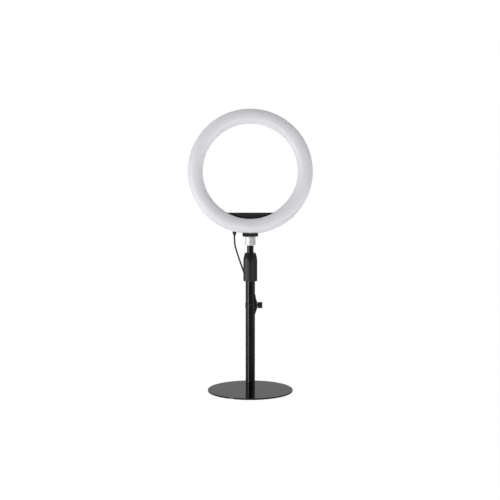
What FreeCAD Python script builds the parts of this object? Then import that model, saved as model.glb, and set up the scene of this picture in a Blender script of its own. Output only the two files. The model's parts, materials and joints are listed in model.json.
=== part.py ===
"""Ring light on a telescoping desk stand, as a parametric FreeCAD document.

Millimetres, +Z up. The origin is the middle of the base's underside, the light faces -Y and
the thumb screw of the sliding clamp points to +X.
"""
import FreeCAD, Part
import math
import os
import re
import Sketcher

Vector = FreeCAD.Vector
Rotation = FreeCAD.Rotation
Placement = FreeCAD.Placement

# Driving sizes: alias, value, what it measures.
SIZES = [
    ("pad_diameter", 172, "foam pad under the base"),
    ("pad_thickness", 1, "foam pad under the base"),
    ("pad_hole", 15.6, "hole in the pad for the screw's head"),
    ("base_diameter", 180, "steel base disc"),
    ("base_thickness", 3, "steel base disc"),
    ("base_bevel", 0.4, "broken edge of the base disc"),
    ("screw_diameter", 6, "countersunk screw that holds the pole"),
    ("screw_head", 11.6, "its head"),
    ("screw_sink", 2.6, "height of its conical head"),
    ("screw_hole", 6.4, "hole for it in the base disc"),
    ("socket_corners", 4.6, "its hexagon socket, across corners"),
    ("socket_depth", 1.8, "its hexagon socket"),
    ("screw_end", 22, "height of its tip"),
    ("pole_diameter", 20, "lower tube"),
    ("pole_wall", 1, "lower tube"),
    ("pole_top", 262, "height of the lower tube's top"),
    ("plug_height", 16, "threaded plug in the lower tube's foot"),
    ("bush_diameter", 22.8, "threaded bush on the lower tube's top"),
    ("bush_bottom", 239, "height of its lower end"),
    ("bush_top", 268, "height of its conical seat"),
    ("seat_mouth", 20.3, "upper diameter of that seat"),
    ("seat_throat", 17.2, "lower diameter of that seat"),
    ("grip_bottom", 236.3, "twist lock sleeve"),
    ("grip_shoulder", 280, "height where the sleeve starts to taper"),
    ("grip_top", 295, "height of the sleeve's top"),
    ("grip_diameter", 31, "twist lock sleeve"),
    ("grip_neck", 23.6, "diameter at the sleeve's top"),
    ("grip_bore", 23.4, "room for the threaded bush"),
    ("grip_mouth", 14.8, "hole that the inner tube passes"),
    ("grip_bevel", 0.6, "broken edges of the sleeve"),
    ("grip_flute_radius", 20, "hollow of a finger flute"),
    ("grip_flute_depth", 1.4, "finger flute"),
    ("grip_turn", 30, "degrees that the flutes are turned about the sleeve"),
    ("flute_count", 6, "finger flutes round the sleeve"),
    ("tube_diameter", 14, "inner tube"),
    ("tube_wall", 1, "inner tube"),
    ("tube_bottom", 24, "height of the inner tube's lower end, lowered"),
    ("tube_top", 311.6, "height of the inner tube's upper end, lowered"),
    ("top_plug_length", 14, "threaded plug in the inner tube's upper end"),
    ("guide_diameter", 17.4, "bush on the inner tube's lower end"),
    ("guide_height", 20, "that bush"),
    ("collet_bore", 14.4, "split collet round the inner tube"),
    ("collet_diameter", 19.6, "split collet"),
    ("collet_bottom", 262.8, "split collet"),
    ("collet_top", 280.6, "split collet"),
    ("collet_slit", 1.6, "split collet"),
    ("collet_tip", 16.6, "diameter at its lower end"),
    ("collet_low_cone", 268.6, "height where its lower cone ends"),
    ("collet_high_cone", 276.6, "height where its upper cone starts"),
    ("collet_crown", 16.8, "diameter at its upper end"),
    ("thrust_bottom", 281, "thrust ring over the collet"),
    ("thrust_height", 2.6, "thrust ring"),
    ("thrust_diameter", 21, "thrust ring"),
    ("nest_diameter", 21.6, "hollow for the thrust ring"),
    ("nest_bottom", 280.6, "hollow for the thrust ring"),
    ("nest_top", 283.7, "hollow for the thrust ring"),
    ("spigot_diameter", 22, "chromed spigot on the inner tube"),
    ("spigot_top", 330.5, "height of the spigot's top"),
    ("spigot_bevel", 0.8, "broken edges of the spigot"),
    ("stud_diameter", 6.35, "quarter inch camera thread"),
    ("stud_above", 5, "stud over the spigot"),
    ("stud_below", 12, "stud in the inner tube"),
    ("ring_height", 466, "height of the ring's centre"),
    ("ring_outer", 260, "outside of the diffuser"),
    ("ring_inner", 198, "inside of the diffuser"),
    ("ring_front", -12, "front of the diffuser"),
    ("ring_seam", -2, "where the diffuser meets the back shell"),
    ("ring_back", 12, "back of the shell"),
    ("diffuser_wall", 1.6, "opal diffuser"),
    ("diffuser_skirt", 3, "straight edge of the diffuser"),
    ("shell_wall", 2, "back shell"),
    ("shell_inset", 0.5, "how far the shell lies inside the diffuser's edges"),
    ("shell_corner", 3.5, "rounded back edges of the shell"),
    ("chord_drop", 87, "from the ring's centre down to the accessory ledge"),
    ("ledge_depth", 11, "accessory ledge, front to back"),
    ("ledge_overlap", 1, "how far the ledge runs into the shell's wall"),
    ("foot_width", 32.4, "foot under the ring"),
    ("foot_depth", 20, "foot under the ring"),
    ("foot_blank", 12, "height of the block that the foot is cut from"),
    ("foot_corner", 1.6, "rounded lower edges of the foot"),
    ("foot_gap", 0.3, "between the foot and the diffuser"),
    ("foot_skin", 1.4, "foot under its blind screw holes"),
    ("foot_screw", 2.4, "screws between foot and shell"),
    ("foot_screw_hole", 3.2, "their holes in the shell"),
    ("foot_screw_head", 5, "their heads"),
    ("foot_head_height", 1.6, "their heads"),
    ("foot_head_level", 9, "underside of their heads over the foot's underside"),
    ("foot_screw_side", 10.5, "screws between foot and shell, across"),
    ("foot_screw_depth", 4.4, "screws between foot and shell, in depth"),
    ("insert_diameter", 9.4, "brass thread inserts"),
    ("insert_length", 8, "accessory insert"),
    ("insert_middle", 5.5, "accessory insert's axis, in depth"),
    ("foot_insert_length", 5.2, "insert in the foot"),
    ("board_inner", 206, "light board"),
    ("board_outer", 252, "light board"),
    ("board_thickness", 1.6, "light board"),
    ("lamp_width", 2.8, "one light emitting diode"),
    ("lamp_length", 3.5, "one light emitting diode"),
    ("lamp_height", 0.8, "one light emitting diode"),
    ("lamp_count", 48, "diodes of each colour"),
    ("boss_count", 8, "screw bosses in the shell"),
    ("boss_circle", 114.5, "radius of the boss circle"),
    ("boss_diameter", 6, "screw boss"),
    ("board_screw", 2.2, "board screws"),
    ("board_screw_length", 7, "board screws"),
    ("board_screw_head", 4.4, "board screws"),
    ("board_head_height", 1.2, "board screws"),
    ("gland_side", -33.1, "where the cord leaves the ring, across"),
    ("gland_back", 5.9, "where the cord leaves the ring, in depth"),
    ("gland_mouth", 331, "height where the cord leaves its strain relief"),
    ("gland_length", 17, "strain relief"),
    ("gland_taper", 8, "its tapered part"),
    ("gland_flare", 10, "upper diameter of its tapered part"),
    ("gland_tip", 4.8, "its lower diameter"),
    ("gland_neck", 7.6, "diameter in the shell"),
    ("gland_core", 2.2, "wires inside it"),
    ("flange_width", 11, "its flange inside the shell"),
    ("flange_depth", 7.8, "its flange inside the shell"),
    ("flange_height", 1.6, "its flange inside the shell"),
    ("wire_pitch", 2.2, "between the three wires"),
    ("wire_diameter", 1.1, "one wire"),
    ("wire_rise", 5, "from the strain relief up to the board"),
    ("cord_diameter", 3, "two-wire cord of the plug"),
    ("lead_diameter", 3.5, "three-wire cord from the remote up to the ring"),
    ("clamp_middle", 184.4, "height of the sliding clamp's screw"),
    ("clamp_bore", 20.4, "sliding clamp"),
    ("clamp_band", 23, "outside of its band"),
    ("clamp_offset", 0.8, "how far the band's outside lies off the pole's axis"),
    ("clamp_height", 9.6, "its band"),
    ("clamp_reach", 14.6, "end of its boss"),
    ("boss_half", 6.5, "half the height of its boss"),
    ("fairing_below", 19, "from the screw down to the fairing's end"),
    ("fairing_above", 23, "from the screw up to the fairing's end"),
    ("fairing_edge", 10.5, "fairing's ends, from the pole's axis"),
    ("fairing_swell", 12.4, "fairing half way to the boss, from the pole's axis"),
    ("fairing_width", 11, "fairing, front to back"),
    ("fairing_rounding", 2.4, "its outer edges"),
    ("thread_room", 5.4, "hole for the thumb screw"),
    ("pad_start", 10.4, "pressure pad"),
    ("pad_length", 1.4, "pressure pad"),
    ("knob_start", 15, "thumb screw"),
    ("knob_length", 10.4, "thumb screw"),
    ("knob_diameter", 13, "thumb screw"),
    ("knob_socket", 5, "how deep the shank sits in the knob"),
    ("knob_rounding", 0.8, "outer rim of the knob"),
    ("knob_ridges", 20, "grooves round the knob"),
    ("knob_groove", 1.4, "width of a groove"),
    ("thread_diameter", 4.6, "thumb screw's shank"),
    ("thread_start", 12, "thumb screw's shank"),
    ("remote_width", 17, "inline remote"),
    ("remote_depth", 11, "inline remote"),
    ("remote_length", 60, "inline remote"),
    ("remote_bottom", 70, "height of the inline remote"),
    ("remote_back", 33, "how far behind the pole's axis the remote hangs"),
    ("remote_wall", 1.4, "inline remote"),
    ("remote_corner", 4, "rounded corners of the inline remote"),
    ("remote_end", 4.4, "solid ends of the inline remote"),
    ("remote_board_gap", 0.2, "between its circuit board and its case"),
    ("remote_board_front", 30.8, "circuit board of the remote"),
    ("remote_board_thickness", 1.2, "circuit board of the remote"),
    ("remote_board_length", 46, "circuit board of the remote"),
    ("relief_length", 12, "strain reliefs of the remote"),
    ("relief_narrow", 4.2, "strain reliefs, at the cord"),
    ("relief_wide", 6.4, "strain reliefs, at the case"),
    ("button_pitch", 12.5, "between the remote's buttons"),
    ("button_diameter", 7, "remote's buttons"),
    ("button_room", 7.8, "holes for the buttons"),
    ("button_start", 34.4, "inner end of a button, in depth"),
    ("button_length", 5.2, "a button"),
    ("hank_left", -7.5, "folded hank of cord"),
    ("hank_width", 12, "folded hank of cord"),
    ("hank_front", 31.5, "folded hank of cord"),
    ("hank_length", 56, "folded hank of cord"),
    ("hank_bottom", 4.65, "folded hank of cord"),
    ("hank_height", 33, "folded hank of cord"),
    ("tie_thickness", 0.6, "tie round the hank"),
    ("tie_width", 6, "tie round the hank"),
    ("plug_side", 2.8, "plug's axis, across"),
    ("plug_level", 42.3, "height of the plug's axis"),
    ("plug_rear", 52, "where the cord enters the plug"),
    ("plug_relief", 6, "tapered part of the plug's boot"),
    ("boot_width", 13, "moulded boot of the plug"),
    ("boot_length", 18, "moulded boot of the plug"),
    ("boot_height", 8, "moulded boot of the plug"),
    ("boot_corner", 2, "moulded boot of the plug"),
    ("contact_width", 12, "plug's metal shell"),
    ("contact_length", 12, "plug's metal shell"),
    ("contact_height", 4.5, "plug's metal shell"),
    ("contact_wall", 0.3, "plug's metal shell"),
    ("tongue_length", 11.4, "insulator inside it"),
    ("tongue_height", 1.9, "insulator inside it"),
    ("tongue_lift", 0.05, "insulator over the plug's axis"),
]

# The cord's route as points chosen by hand: from the ring to the remote, from the remote to
# the hank on the base, and from the hank to the plug.
UPPER_ROUTE = [(-33.1, 5.9, 331), (-33.4, 6.1, 319), (-31.2, 7.4, 305.5), (-25.6, 11, 287),
               (-18, 16.2, 264.5), (-8, 23, 235.5), (-1.6, 29, 206), (0.4, 32.4, 174), (0, 33, 142.1)]
LOWER_ROUTE = [(0, 33, 58), (-0.7, 33.4, 50.5), (-3.2, 36.6, 44), (-5.6, 42.4, 39.6), (-6, 47, 37.4)]
TAIL_ROUTE = [(3, 33, 28), (3, 33.6, 35), (3, 38, 40.5), (3, 45, 42.2), (2.8, 52, 42.3)]

doc = FreeCAD.newDocument("RingLight")
sheet = doc.addObject("Spreadsheet::Sheet", "Sizes")
for row, (alias, value, note) in enumerate(SIZES, start=1):
    sheet.set("A%d" % row, alias)
    sheet.set("B%d" % row, str(value))
    sheet.set("C%d" % row, note)
    sheet.setAlias("B%d" % row, alias)
doc.recompute()
ALIASES = {alias for alias, value, note in SIZES}
nodes = []


def size(alias):
    """The number in a cell of the sheet."""
    return float(sheet.get(alias))


def on_sheet(formula):
    """A formula of sheet names as an expression: pole_diameter / 2 gives Sizes.pole_diameter / 2."""
    def with_sheet(word):
        return "Sizes." + word.group(0) if word.group(0) in ALIASES else word.group(0)
    return re.sub(r"[a-z_]+", with_sheet, str(formula))


def amount(formula):
    """The value that a formula of sheet names has now."""
    def number(word):
        return repr(size(word.group(0)))
    product = FreeCAD.Units.Quantity(re.sub(r"[a-z_]+", number, str(formula)))
    return product.Value


def bind(thing, **formulas):
    """Bind properties of an object to formulas on the sheet."""
    for name, formula in formulas.items():
        thing.setExpression(name, on_sheet(formula))


def put(thing, x, y, z):
    """Bind an object's place to formulas on the sheet."""
    thing.setExpression("Placement.Base.x", on_sheet(x))
    thing.setExpression("Placement.Base.y", on_sheet(y))
    thing.setExpression("Placement.Base.z", on_sheet(z))
    return thing


def turn_to(thing, axis):
    """Turn a primitive that grows along Z to grow along X or Y."""
    if axis == "X":
        thing.Placement.Rotation = Rotation(Vector(0, 1, 0), 90)
    if axis == "Y":
        thing.Placement.Rotation = Rotation(Vector(1, 0, 0), -90)


def cylinder(name, diameter, height, x=0, y=0, z=0, axis="Z"):
    solid = doc.addObject("Part::Cylinder", name)
    turn_to(solid, axis)
    bind(solid, Radius="(%s) / 2" % diameter, Height=height)
    return put(solid, x, y, z)


def cone(name, start_diameter, end_diameter, height, x=0, y=0, z=0, axis="Z"):
    solid = doc.addObject("Part::Cone", name)
    turn_to(solid, axis)
    bind(solid, Radius1="(%s) / 2" % start_diameter, Radius2="(%s) / 2" % end_diameter, Height=height)
    return put(solid, x, y, z)


def block(name, length, width, height, x=0, y=0, z=0):
    """A box by its sizes along X, Y and Z and its lowest corner."""
    solid = doc.addObject("Part::Box", name)
    bind(solid, Length=length, Width=width, Height=height)
    return put(solid, x, y, z)


def cut(name, base, tool):
    result = doc.addObject("Part::Cut", name)
    result.Base = base
    result.Tool = tool
    return result


def join(name, *pieces):
    result = doc.addObject("Part::MultiFuse", name)
    result.Shapes = list(pieces)
    return result


def common(name, first, second):
    result = doc.addObject("Part::Common", name)
    result.Base = first
    result.Tool = second
    return result


def soften(name, base, radius, wanted, chamfer=False):
    """Fillet or chamfer the edges of a solid that the function wanted picks."""
    doc.recompute()
    result = doc.addObject("Part::Chamfer" if chamfer else "Part::Fillet", name)
    result.Base = base
    numbers = [place for place, edge in enumerate(base.Shape.Edges, start=1) if wanted(edge)]
    result.Edges = [(number, radius, radius) for number in numbers]
    return result


def tube(name, outer, inner, height, x=0, y=0, z=0, axis="Z"):
    """A plain tube or washer."""
    wall = cylinder(name + "_outside", outer, height, x, y, z, axis)
    hole = cylinder(name + "_hole", inner, height, x, y, z, axis)
    return cut(name, wall, hole)


def node(thing, label):
    """Name an object as one piece of the light."""
    thing.Label = label
    nodes.append(thing)
    return thing


def new_body(name):
    return doc.addObject("PartDesign::Body", name)


def plane_of(body, role):
    return [item for item in body.Origin.OriginFeatures if item.Role == role][0]


def outline(body, role, corners):
    """A closed sketch on one of the body's planes; each corner is two formulas."""
    sketch = body.newObject("Sketcher::SketchObject", body.Name + "_outline")
    sketch.AttachmentSupport = [(plane_of(body, role), "")]
    sketch.MapMode = "FlatFace"
    spots = [Vector(amount(across), amount(up), 0) for across, up in corners]
    count = len(corners)
    for place in range(count):
        sketch.addGeometry(Part.LineSegment(spots[place], spots[(place + 1) % count]))
    for place in range(count):
        sketch.addConstraint(Sketcher.Constraint("Coincident", place, 2, (place + 1) % count, 1))
    for place, corner in enumerate(corners):
        for kind, formula in zip(("DistanceX", "DistanceY"), corner):
            held = sketch.addConstraint(Sketcher.Constraint(kind, -1, 1, place, 1, amount(formula)))
            sketch.setExpression("Constraints[%d]" % held, on_sheet(formula))
    return sketch


def round_outline(body, role, across, up, diameter):
    """A circle sketch on one of the body's planes."""
    sketch = body.newObject("Sketcher::SketchObject", body.Name + "_circle")
    sketch.AttachmentSupport = [(plane_of(body, role), "")]
    sketch.MapMode = "FlatFace"
    middle = Vector(amount(across), amount(up), 0)
    sketch.addGeometry(Part.Circle(middle, Vector(0, 0, 1), amount(diameter) / 2))
    facts = [("DistanceX", across), ("DistanceY", up)]
    for kind, formula in facts:
        held = sketch.addConstraint(Sketcher.Constraint(kind, -1, 1, 0, 3, amount(formula)))
        sketch.setExpression("Constraints[%d]" % held, on_sheet(formula))
    held = sketch.addConstraint(Sketcher.Constraint("Diameter", 0, amount(diameter)))
    sketch.setExpression("Constraints[%d]" % held, on_sheet(diameter))
    return sketch


def revolve(body, sketch, role="Z_Axis"):
    """Turn a sketch all the way round one of the body's axes."""
    feature = body.newObject("PartDesign::Revolution", body.Name + "_turned")
    feature.Profile = sketch
    feature.ReferenceAxis = (plane_of(body, role), [""])
    feature.Angle = 360
    body.Tip = feature
    return feature


def pad(body, sketch, length, midplane=False, backwards=False):
    feature = body.newObject("PartDesign::Pad", body.Name + "_pad")
    feature.Profile = sketch
    feature.setExpression("Length", on_sheet(length))
    feature.Midplane = midplane
    feature.Reversed = backwards
    body.Tip = feature
    return feature


def pocket(body, sketch, length, midplane=False, backwards=False):
    """Cut a sketch out of the body, and make sure that it did cut."""
    doc.recompute()
    before = body.Shape.Volume
    feature = body.newObject("PartDesign::Pocket", body.Name + "_cut")
    feature.Profile = sketch
    feature.setExpression("Length", on_sheet(length))
    feature.Midplane = midplane
    feature.Reversed = backwards
    body.Tip = feature
    doc.recompute()
    if body.Shape.Volume > before - 0.01:
        raise SystemExit("a pocket of %s cut nothing" % body.Name)
    return feature


def polar(body, feature, role, count):
    """Repeat a feature round one of the body's axes."""
    pattern = body.newObject("PartDesign::PolarPattern", body.Name + "_round")
    pattern.Originals = [feature]
    pattern.Axis = (plane_of(body, role), [""])
    pattern.Angle = 360
    pattern.setExpression("Occurrences", on_sheet(count))
    body.Tip = pattern
    return pattern


def ring_of(name, shape, places):
    """One node of equal separate solids: the shape, moved to each place."""
    group = doc.addObject("Part::Feature", name)
    group.Shape = Part.makeCompound([shape.transformed(place.toMatrix()) for place in places])
    group.Placement = Placement()
    return group


def on_ring(radius, degrees, depth):
    """A place on the ring's face: turned about the ring's axis, at a radius and a depth."""
    middle = Vector(0, depth, size("ring_height"))
    about_axis = Rotation(Vector(0, 1, 0), degrees)
    return Placement(middle + about_axis.multVec(Vector(0, 0, radius)), about_axis)


# ---- stand -------------------------------------------------------------------------------

def make_base_pad():
    foam = tube("FoamPad", "pad_diameter", "pad_hole", "pad_thickness")
    node(foam, "base_pad")


def make_base_plate():
    body = new_body("BasePlate")
    disc = pad(body, round_outline(body, "XY_Plane", 0, 0, "base_diameter"), "base_thickness")
    doc.recompute()
    bevel = body.newObject("PartDesign::Chamfer", "BasePlate_bevel")
    bevel.Base = (disc, ["Edge1", "Edge3"])
    bevel.setExpression("Size", on_sheet("base_bevel"))
    body.Tip = bevel
    hole = round_outline(body, "XY_Plane", 0, 0, "screw_hole")
    pocket(body, hole, "base_thickness", backwards=True)
    put(body, 0, 0, "pad_thickness")
    sink = cone("BasePlate_sink", "screw_head", "screw_hole", "screw_sink", z="pad_thickness")
    node(cut("BasePlate_sunk", body, sink), "base_plate")


def make_base_screw():
    head = cone("BaseScrew_head", "screw_head", "screw_diameter", "screw_sink", z="pad_thickness")
    shank = cylinder("BaseScrew_shank", "screw_diameter", "screw_end - pad_thickness", z="pad_thickness")
    whole = join("BaseScrew_whole", head, shank)
    socket = doc.addObject("Part::Prism", "BaseScrew_socket")
    socket.Polygon = 6
    bind(socket, Circumradius="socket_corners / 2", Height="socket_depth")
    put(socket, 0, 0, "pad_thickness")
    node(cut("BaseScrew", whole, socket), "base_screw")


def make_pole():
    bottom = "pad_thickness + base_thickness"
    inside = "pole_diameter - 2 * pole_wall"
    wall = tube("PoleWall", "pole_diameter", inside, "pole_top - pad_thickness - base_thickness", z=bottom)
    node(wall, "pole_tube")
    plug = tube("PolePlug", inside, "screw_diameter", "plug_height", z=bottom)
    node(plug, "pole_foot_plug")


def make_lock_bush():
    body = new_body("LockBush")
    outside = "bush_diameter / 2"
    corners = [("pole_diameter / 2", "bush_bottom"), (outside, "bush_bottom"), (outside, "bush_top"),
               ("seat_mouth / 2", "bush_top"), ("seat_throat / 2", "pole_top"), ("pole_diameter / 2", "pole_top")]
    revolve(body, outline(body, "XZ_Plane", corners))
    node(body, "lock_bush")


def make_thrust_ring():
    ring = tube("ThrustRing", "thrust_diameter", "grip_mouth", "thrust_height", z="thrust_bottom")
    node(ring, "thrust_ring")


def make_grip_sleeve():
    body = new_body("GripSleeve")
    bore = "grip_bore / 2"
    outside = "grip_diameter / 2"
    neck = "grip_neck / 2"
    mouth = "grip_mouth / 2"
    nest = "nest_diameter / 2"
    corners = [(bore, "grip_bottom"), (outside + " - grip_bevel", "grip_bottom"),
               (outside, "grip_bottom + grip_bevel"), (outside, "grip_shoulder"),
               (neck, "grip_top - grip_bevel"), (neck + " - grip_bevel", "grip_top"), (mouth, "grip_top"),
               (mouth, "nest_top"), (nest, "nest_top"), (nest, "nest_bottom"), (bore, "nest_bottom")]
    revolve(body, outline(body, "XZ_Plane", corners))
    middle = "grip_diameter / 2 + grip_flute_radius - grip_flute_depth"
    flute = round_outline(body, "XY_Plane", 0, middle, "2 * grip_flute_radius")
    groove = pocket(body, flute, "grip_top", backwards=True)
    polar(body, groove, "Z_Axis", "flute_count")
    body.setExpression("Placement.Rotation.Angle", on_sheet("grip_turn"))
    node(body, "grip_sleeve")


def make_collet():
    body = new_body("Collet")
    bore = "collet_bore / 2"
    outside = "collet_diameter / 2"
    corners = [(bore, "collet_bottom"), ("collet_tip / 2", "collet_bottom"), (outside, "collet_low_cone"),
               (outside, "collet_high_cone"), ("collet_crown / 2", "collet_top"), (bore, "collet_top")]
    revolve(body, outline(body, "XZ_Plane", corners))
    slit = [("-collet_slit / 2", 0), ("collet_slit / 2", 0), ("collet_slit / 2", "collet_diameter"),
            ("-collet_slit / 2", "collet_diameter")]
    pocket(body, outline(body, "XY_Plane", slit), "collet_top", backwards=True)
    node(body, "collet")


def make_inner_tube():
    inside = "tube_diameter - 2 * tube_wall"
    node(tube("InnerTube", "tube_diameter", inside, "tube_top - tube_bottom", z="tube_bottom"), "inner_tube")
    guide = tube("TubeGuide", "guide_diameter", "tube_diameter", "guide_height", z="tube_bottom")
    node(guide, "tube_guide")
    plug = tube("TubePlug", inside, "stud_diameter", "top_plug_length", z="tube_top - top_plug_length")
    node(plug, "tube_top_plug")


def make_spigot():
    barrel = cylinder("SpigotBarrel", "spigot_diameter", "spigot_top - tube_top", z="tube_top")

    def is_rim(edge):
        return edge.Curve.TypeId == "Part::GeomCircle"
    bevelled = soften("SpigotBevelled", barrel, size("spigot_bevel"), is_rim, chamfer=True)
    bore = cylinder("SpigotBore", "stud_diameter", "spigot_top - tube_top", z="tube_top")
    node(cut("Spigot", bevelled, bore), "spigot")
    stud = cylinder("SpigotStud", "stud_diameter", "spigot_top + stud_above - tube_top + stud_below",
                    z="tube_top - stud_below")
    node(stud, "spigot_stud")


# ---- ring --------------------------------------------------------------------------------

def turned_about_ring(name, shape_face):
    """A solid turned from a face in the Y-Z plane about the ring's own axis."""
    middle = Vector(0, 0, size("ring_height"))
    thing = doc.addObject("Part::Feature", name)
    thing.Shape = shape_face.revolve(middle, Vector(0, 1, 0), 360)
    return thing


def make_diffuser():
    """A hollow opal ring: straight skirts and an arched front, one wall thick all over."""
    centre = size("ring_height")
    middle = (size("ring_outer") + size("ring_inner")) / 4

    def arch(inset):
        """Outline of the ring's section, moved in by the inset."""
        half = (size("ring_outer") - size("ring_inner")) / 4 - inset
        seam = size("ring_seam")
        shoulder = seam - size("diffuser_skirt")
        crown = size("ring_front") + inset
        outer_foot = Vector(0, seam, centre + middle + half)
        outer_shoulder = Vector(0, shoulder, centre + middle + half)
        top = Vector(0, crown, centre + middle)
        inner_shoulder = Vector(0, shoulder, centre + middle - half)
        inner_foot = Vector(0, seam, centre + middle - half)
        edges = [Part.LineSegment(outer_foot, outer_shoulder).toShape(),
                 Part.Arc(outer_shoulder, top, inner_shoulder).toShape(),
                 Part.LineSegment(inner_shoulder, inner_foot).toShape(),
                 Part.LineSegment(inner_foot, outer_foot).toShape()]
        return Part.Face(Part.Wire(edges))

    section = arch(0).cut(arch(size("diffuser_wall")))
    node(turned_about_ring("Diffuser", section.Faces[0]), "diffuser")


def make_back_shell():
    """A channel with rounded back edges, an accessory ledge across its bottom and screw bosses."""
    body = new_body("ShellChannel")
    low = "ring_inner / 2 + shell_inset"
    high = "ring_outer / 2 - shell_inset"
    back = "ring_back"
    floor = "ring_back - shell_wall"
    corners = [(low, "ring_seam"), (low + " + shell_wall", "ring_seam"), (low + " + shell_wall", floor),
               (high + " - shell_wall", floor), (high + " - shell_wall", "ring_seam"),
               (high, "ring_seam"), (high, back), (low, back)]
    channel = revolve(body, outline(body, "XY_Plane", corners), "Y_Axis")
    doc.recompute()
    rounding = body.newObject("PartDesign::Fillet", "ShellChannel_rounding")
    rims = ["Edge%d" % place for place, edge in enumerate(channel.Shape.Edges, start=1)
            if edge.Curve.TypeId == "Part::GeomCircle" and edge.BoundBox.YMin > size("ring_back") - 0.1]
    rounding.Base = (channel, rims)
    rounding.setExpression("Radius", on_sheet("shell_corner"))
    body.Tip = rounding
    put(body, 0, 0, "ring_height")

    disc = cylinder("LedgeDisc", "ring_inner + 2 * shell_inset + 2 * ledge_overlap", "ledge_depth", 0, 0,
                    "ring_height", "Y")
    under = block("LedgeUnder", "ring_inner", "ring_back", "ring_outer / 2 - chord_drop",
                  "-ring_inner / 2", 0, "ring_height - ring_outer / 2")
    ledge = common("Ledge", disc, under)

    boss_height = amount("ring_back - shell_wall - board_thickness")
    spots = boss_places("board_thickness")
    bosses = ring_of("ShellBosses", pin(size("boss_diameter"), boss_height), spots)
    whole = join("ShellWhole", body, ledge, bosses)

    bores = ring_of("BossBores", pin(size("board_screw"), size("board_screw_length")), spots)
    insert_hole = cylinder("InsertHole", "insert_diameter", "insert_length", 0, "insert_middle",
                           "ring_height - chord_drop - insert_length")
    gland_hole = cylinder("GlandHole", "gland_neck", "gland_length", "gland_side", "gland_back", "gland_mouth")
    screw_holes = [cylinder("FootHole%d" % turn, "foot_screw_hole", "foot_blank", side, "foot_screw_depth",
                            "spigot_top + foot_insert_length")
                   for turn, side in enumerate(foot_screw_sides())]
    holes = join("ShellHoles", bores, insert_hole, gland_hole, *screw_holes)
    node(cut("BackShell", whole, holes), "back_shell")


def foot_screw_sides():
    return ("-foot_screw_side", "foot_screw_side")


def pin(diameter, length, start=0):
    """A plain cylinder along Y, for the groups of equal pieces."""
    return Part.makeCylinder(diameter / 2, length, Vector(0, start, 0), Vector(0, 1, 0))


def boss_places(depth):
    """Places of the screw bosses round the ring, at a depth."""
    count = int(size("boss_count"))
    return [on_ring(size("boss_circle"), 360 * (turn + 0.5) / count, amount(depth)) for turn in range(count)]


def make_accessory_insert():
    insert = tube("AccessoryInsert", "insert_diameter", "stud_diameter", "insert_length", 0,
                  "insert_middle", "ring_height - chord_drop - insert_length")
    node(insert, "accessory_insert")


def make_foot():
    """The block under the ring: its top follows the shell, and its lower corners are rounded."""
    slab = block("FootSlab", "foot_width", "foot_depth", "foot_blank", "-foot_width / 2", "-foot_depth / 2",
                 "spigot_top")

    def is_lower_side(edge):
        box = edge.BoundBox
        return box.ZMax < size("spigot_top") + 0.1 and box.YLength > 1
    rounded = soften("FootRounded", slab, size("foot_corner"), is_lower_side)
    seat = cylinder("FootSeat", "ring_outer - 2 * shell_inset", "foot_depth", 0, "ring_seam + foot_gap",
                    "ring_height", "Y")
    front = cylinder("FootFront", "ring_outer + 2 * foot_gap", "foot_depth", 0,
                     "ring_seam + foot_gap - foot_depth", "ring_height", "Y")
    saddle = join("FootSaddle", seat, front)
    shaped = cut("FootShaped", rounded, saddle)
    socket = cylinder("FootSocket", "insert_diameter", "foot_blank", z="spigot_top")
    screw_holes = [cylinder("FootThread%d" % turn, "foot_screw", "foot_blank", side, "foot_screw_depth",
                            "spigot_top + foot_skin")
                   for turn, side in enumerate(foot_screw_sides())]
    node(cut("Foot", shaped, join("FootHoles", socket, *screw_holes)), "head_foot")
    insert = tube("FootInsert", "insert_diameter", "stud_diameter", "foot_insert_length", z="spigot_top")
    node(insert, "foot_insert")
    screws = []
    for turn, side in enumerate(foot_screw_sides()):
        shank = cylinder("FootScrewShank%d" % turn, "foot_screw", "foot_head_level - foot_skin", side,
                         "foot_screw_depth", "spigot_top + foot_skin")
        head = cylinder("FootScrewHead%d" % turn, "foot_screw_head", "foot_head_height", side,
                        "foot_screw_depth", "spigot_top + foot_head_level")
        screws.append(join("FootScrew%d" % turn, shank, head))
    group = doc.addObject("Part::Compound", "FootScrews")
    group.Links = screws
    node(group, "foot_screws")


def make_light_board():
    """The board, and the screws that hold it on the shell's bosses."""
    board = tube("BoardBlank", "board_outer", "board_inner", "board_thickness", 0, 0, "ring_height", "Y")
    spots = boss_places("0")
    bores = ring_of("BoardBores", pin(size("board_screw"), size("board_thickness")), spots)
    node(cut("LightBoard", board, bores), "led_board")
    head_height = size("board_head_height")
    head = pin(size("board_screw_head"), head_height, -head_height)
    screw = head.fuse(pin(size("board_screw"), size("board_screw_length")))
    node(ring_of("BoardScrews", screw, spots), "board_screws")


def make_lamps(name, label, shift, radius):
    """One colour of diodes, evenly spaced round the board's front face."""
    length = size("lamp_length")
    width = size("lamp_width")
    height = size("lamp_height")
    lamp = Part.makeBox(length, height, width, Vector(-length / 2, -height, -width / 2))
    count = int(size("lamp_count"))
    spots = [on_ring(radius, 360 * (turn + shift) / count, 0) for turn in range(count)]
    node(ring_of(name, lamp, spots), label)


def make_gland():
    """The tapered strain relief that the cord leaves the ring through."""
    taper = cone("GlandTaper", "gland_tip", "gland_flare", "gland_taper", "gland_side", "gland_back", "gland_mouth")
    neck = cylinder("GlandNeck", "gland_neck", "gland_length - gland_taper - flange_height", "gland_side",
                    "gland_back", "gland_mouth + gland_taper")
    flange = block("GlandFlange", "flange_width", "flange_depth", "flange_height",
                   "gland_side - flange_width / 2", "gland_back - flange_depth / 2",
                   "gland_mouth + gland_length - flange_height")
    hole = cylinder("GlandBore", "gland_core", "gland_length", "gland_side", "gland_back", "gland_mouth")
    node(cut("Gland", join("GlandWhole", taper, neck, flange), hole), "cord_gland")


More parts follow.
